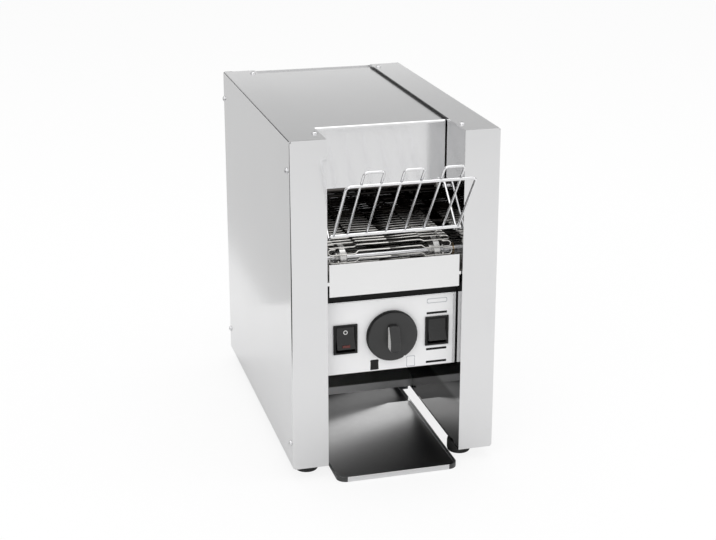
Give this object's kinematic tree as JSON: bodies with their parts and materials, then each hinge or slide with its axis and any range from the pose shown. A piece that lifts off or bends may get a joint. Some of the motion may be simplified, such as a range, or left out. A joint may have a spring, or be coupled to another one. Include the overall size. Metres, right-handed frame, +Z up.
{
  "type": "conveyor toaster",
  "caption": "Counter-top conveyor toaster: two bright side casings, leaning wire feed rack, wire belt between heating tubes, knob panel, chute and a low tray in front.",
  "frame": {"origin": "on the counter, under the middle of the outline's bounding box", "axes": "+Z up, -Y towards the user (feed rack and panel side), +Y to the back, +X to the user's right"},
  "size_m": [0.2444, 0.4741, 0.4012],
  "materials": {
    "stainless_bright": "bright annealed stainless sheet, nearly mirror-like with soft streaks",
    "stainless_satin": "stainless sheet with a satin face, paler than the casing",
    "stainless_inner": "bright stainless sheet, slightly duller, browned near the heat",
    "zinc_steel": "zinc-plated steel, dull",
    "screw_steel": "plain stainless pan heads and studs",
    "foot_rubber": "black rubber",
    "black_painted": "black enamel on sheet steel",
    "black_plastic": "black moulded plastic",
    "rocker_black": "black, semi-gloss",
    "knob_black": "black thermoset plastic, soft gloss",
    "lens_red": "red translucent lens",
    "pointer_white": "white inlay",
    "label_white": "white printed polyester film, satin",
    "wire_chrome": "bright plated round wire",
    "belt_wire": "stainless wire, tinted by heat",
    "shaft_steel": "turned steel",
    "wheel_steel": "sintered steel with a hollowed rim",
    "bronze": "oil-filled bronze and brass strip",
    "motor_grey": "grey painted geared motor",
    "element_sheath": "heating tube sheath, dark from heat",
    "ceramic": "off-white fired ceramic",
    "insulation_wool": "mineral wool mat",
    "chute_steel": "dull stainless sheet, stained by heat and crumbs",
    "sooted_steel": "steel darkened by heat and crumbs",
    "tray_black": "black gloss enamel",
    "lip_steel": "bright steel edge"
  },
  "bodies": {
    "housing": {"left_casing": "stainless_bright", "right_casing": "stainless_bright", "left_inner_wall": "stainless_inner", "right_inner_wall": "stainless_inner", "hood": "stainless_bright", "hood_screws": "zinc_steel", "back_panel": "stainless_bright", "corner_posts": "zinc_steel", "base_plate": "zinc_steel", "feet": "foot_rubber", "foot_bolts": "zinc_steel", "casing_screws": "screw_steel", "control_box": "black_painted", "control_panel": "stainless_bright", "panel_label": "label_white", "panel_screws": "black_painted", "box_back_cover": "zinc_steel", "power_switch_housing": "black_plastic", "bread_switch_housing": "black_plastic", "speed_regulator": "zinc_steel", "crumb_tray_rails": "zinc_steel", "rack_studs": "screw_steel", "conveyor_belt": "belt_wire", "belt_support": "sooted_steel", "shaft_bearings": "bronze", "drive_chain": "shaft_steel", "gear_motor": "motor_grey", "motor_bracket": "zinc_steel", "upper_elements": "element_sheath", "lower_elements": "element_sheath", "element_bushes": "ceramic", "bus_bars": "bronze", "upper_guard": "sooted_steel", "upper_reflector": "sooted_steel", "insulation": "insulation_wool", "chute": "chute_steel", "tray_guides": "zinc_steel", "fan_frame": "black_plastic", "cord_gland": "black_plastic", "terminal_block": "ceramic", "limit_thermostat": "zinc_steel"},
    "power_rocker_lever": {"power_rocker": "rocker_black", "power_lens": "lens_red"},
    "bread_rocker_lever": {"bread_rocker": "rocker_black"},
    "speed_control": {"speed_knob": "knob_black", "knob_pointer": "pointer_white", "regulator_shaft": "shaft_steel"},
    "drive_roller": {"drive_shaft": "shaft_steel", "drive_belt_wheels": "wheel_steel", "drive_shaft_rings": "shaft_steel", "drive_chain_wheel": "wheel_steel"},
    "front_roller": {"front_shaft": "shaft_steel", "front_belt_wheels": "wheel_steel", "front_shaft_rings": "shaft_steel"},
    "motor_output": {"motor_chain_wheel": "wheel_steel"},
    "fan": {"fan_rotor": "black_plastic"},
    "toast_drawer": {"toast_tray": "tray_black", "tray_lip": "lip_steel"},
    "crumb_drawer": {"crumb_tray": "stainless_satin"},
    "rack": {"feed_rack": "wire_chrome"}
  },
  "joints": [
    {"name": "power_switch", "type": "hinge", "parent": "housing", "child": "power_rocker_lever", "pos_m": [-0.0543, -0.14596, 0.16096], "axis": [1, 0, 0], "range_deg": [0, 24]},
    {"name": "bread_switch", "type": "hinge", "parent": "housing", "child": "bread_rocker_lever", "pos_m": [0.0543, -0.14596, 0.16096], "axis": [1, 0, 0], "range_deg": [0, 24]},
    {"name": "speed_knob", "type": "hinge", "parent": "housing", "child": "speed_control", "pos_m": [0, -0.15296, 0.16096], "axis": [0, 1, 0], "range_deg": [-135, 135]},
    {"name": "belt_drive", "type": "hinge", "parent": "housing", "child": "drive_roller", "pos_m": [0, 0.13704, 0.25151], "axis": [1, 0, 0], "continuous": true},
    {"name": "front_roller_turn", "type": "hinge", "parent": "housing", "child": "front_roller", "pos_m": [0, -0.13296, 0.25151], "axis": [1, 0, 0], "continuous": true},
    {"name": "motor_turn", "type": "hinge", "parent": "housing", "child": "motor_output", "pos_m": [0.1065, 0.13704, 0.14991], "axis": [1, 0, 0], "continuous": true},
    {"name": "fan_turn", "type": "hinge", "parent": "housing", "child": "fan", "pos_m": [0, 0.20704, 0.164], "axis": [0, 1, 0], "continuous": true},
    {"name": "toast_tray_slide", "type": "slide", "parent": "housing", "child": "toast_drawer", "axis": [0, -1, 0], "range_m": [0, 0.245]},
    {"name": "crumb_tray_slide", "type": "slide", "parent": "housing", "child": "crumb_drawer", "axis": [0, -1, 0], "range_m": [0, 0.295]},
    {"name": "rack_lift", "type": "slide", "parent": "housing", "child": "rack", "axis": [0, 0, 1], "range_m": [0, 0.06]}
  ],
  "couplings": [
    {"joint": "front_roller_turn", "follows": "belt_drive", "ratio": 1},
    {"joint": "motor_turn", "follows": "belt_drive", "ratio": 1}
  ]
}
